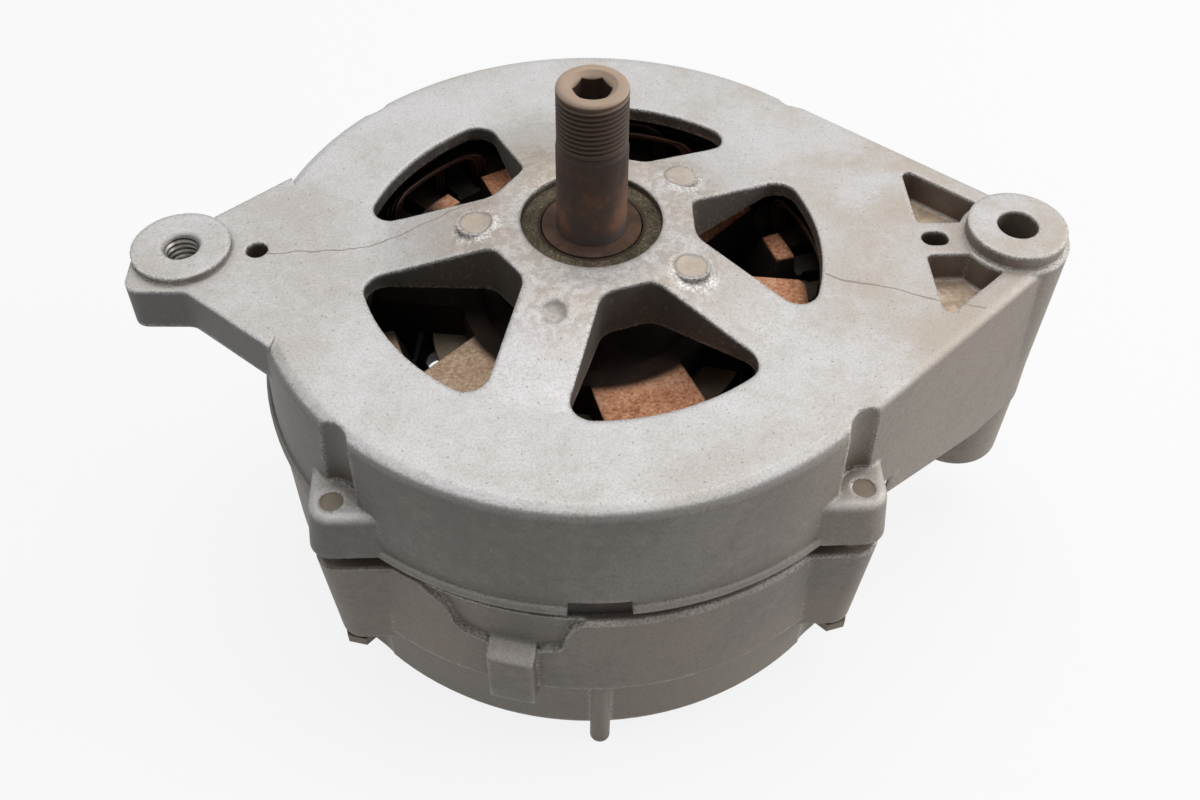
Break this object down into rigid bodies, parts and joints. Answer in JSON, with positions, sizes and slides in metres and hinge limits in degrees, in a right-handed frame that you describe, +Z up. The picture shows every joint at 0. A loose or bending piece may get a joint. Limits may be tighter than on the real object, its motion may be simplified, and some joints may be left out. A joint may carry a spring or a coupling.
{
  "type": "alternator",
  "caption": "Claw pole generator with a bare threaded shaft, two cast end frames, a tall pivot foot and a flat adjusting ear, held by long through bolts.",
  "frame": {"origin": "centre of the rear bearing boss's outer face, where the shaft axis meets the plane that the rear frame stands on", "axes": "+Z up the shaft axis to its threaded nose, +X towards the pivot foot, so that the adjusting ear lies along -X"},
  "size_m": [0.2321, 0.1709, 0.1475],
  "materials": {
    "cast_aluminium": "sand-textured casting, dusty",
    "bolt_steel": "plated steel, dull",
    "lamination": "stacked steel sheet, dark",
    "winding": "varnished copper wire",
    "pole_iron": "rusted iron",
    "shaft_steel": "turned steel with a rust film",
    "slip_ring": "worn copper",
    "moulding": "moulded black insulation",
    "bobbin": "pale moulded insulation",
    "bearing_steel": "ground bearing steel",
    "seal": "dusty rubber seal",
    "cage_brass": "pressed cage",
    "carbon": "carbon brush",
    "spring": "bright wire",
    "sheet_metal": "plain sheet",
    "terminal_brass": "plain brass",
    "fibre": "brown fibre sheet"
  },
  "bodies": {
    "frame": {"bearing_retainer": "bolt_steel", "brush_holder": "moulding", "brush_holder_screws": "bolt_steel", "capacitor": "sheet_metal", "capacitor_clamp": "bolt_steel", "capacitor_screw": "bolt_steel", "diode_trio": "moulding", "drive_end_frame": "cast_aluminium", "first_phase_winding": "winding", "front_bearing_outer_ring": "bearing_steel", "front_bearing_seal": "seal", "front_brush_spring": "spring", "inner_bearing_seal": "seal", "negative_diodes": "terminal_brass", "negative_heat_sink": "sheet_metal", "output_insulator": "moulding", "output_nut": "bolt_steel", "output_stud": "terminal_brass", "output_washer": "bolt_steel", "phase_nuts": "bolt_steel", "phase_studs": "terminal_brass", "positive_diodes": "terminal_brass", "positive_heat_sink": "sheet_metal", "rear_bearing_cup": "bearing_steel", "rear_bearing_plug": "bolt_steel", "rear_brush_spring": "spring", "rectifier_insulator": "fibre", "regulator_base": "sheet_metal", "regulator_blades": "terminal_brass", "regulator_screws": "bolt_steel", "retainer_screws": "bolt_steel", "second_phase_winding": "winding", "slip_ring_end_frame": "cast_aluminium", "stator_core": "lamination", "stator_leads": "winding", "terminal_strip": "moulding", "third_phase_winding": "winding", "through_bolts": "bolt_steel", "voltage_regulator": "moulding"},
    "rotor": {"rotor_shaft": "shaft_steel", "front_claw_pole": "pole_iron", "rear_claw_pole": "pole_iron", "rotor_core": "pole_iron", "field_bobbin": "bobbin", "field_winding": "winding", "rotor_spacer": "bolt_steel", "slip_ring_hub": "moulding", "rear_slip_ring": "slip_ring", "front_slip_ring": "slip_ring", "front_bearing_inner_ring": "bearing_steel"},
    "front_bearing_set": {"front_bearing_balls": "bearing_steel", "front_bearing_cage": "cage_brass"},
    "rear_bearing_set": {"rear_bearing_rollers": "bearing_steel", "rear_bearing_cage": "cage_brass"},
    "rear_brush_body": {"rear_brush": "carbon"},
    "front_brush_body": {"front_brush": "carbon"}
  },
  "joints": [
    {"name": "rotor_spin", "type": "hinge", "parent": "frame", "child": "rotor", "pos_m": [0, 0, 0.1], "axis": [0, 0, 1], "continuous": true},
    {"name": "front_bearing_roll", "type": "hinge", "parent": "frame", "child": "front_bearing_set", "pos_m": [0, 0, 0.1014], "axis": [0, 0, 1], "continuous": true},
    {"name": "rear_bearing_roll", "type": "hinge", "parent": "frame", "child": "rear_bearing_set", "pos_m": [0, 0, 0.0125], "axis": [0, 0, 1], "continuous": true},
    {"name": "rear_brush_slide", "type": "slide", "parent": "frame", "child": "rear_brush_body", "axis": [0, 1, 0], "range_m": [0, 0.004], "stiffness_N_per_m": 300, "springref_m": -0.003, "deforming": ["rear_brush_spring"]},
    {"name": "front_brush_slide", "type": "slide", "parent": "frame", "child": "front_brush_body", "axis": [0, 1, 0], "range_m": [0, 0.004], "stiffness_N_per_m": 300, "springref_m": -0.003, "deforming": ["front_brush_spring"]}
  ],
  "couplings": [
    {"joint": "front_bearing_roll", "follows": "rotor_spin", "ratio": 0.3818},
    {"joint": "rear_bearing_roll", "follows": "rotor_spin", "ratio": 0.4408}
  ]
}
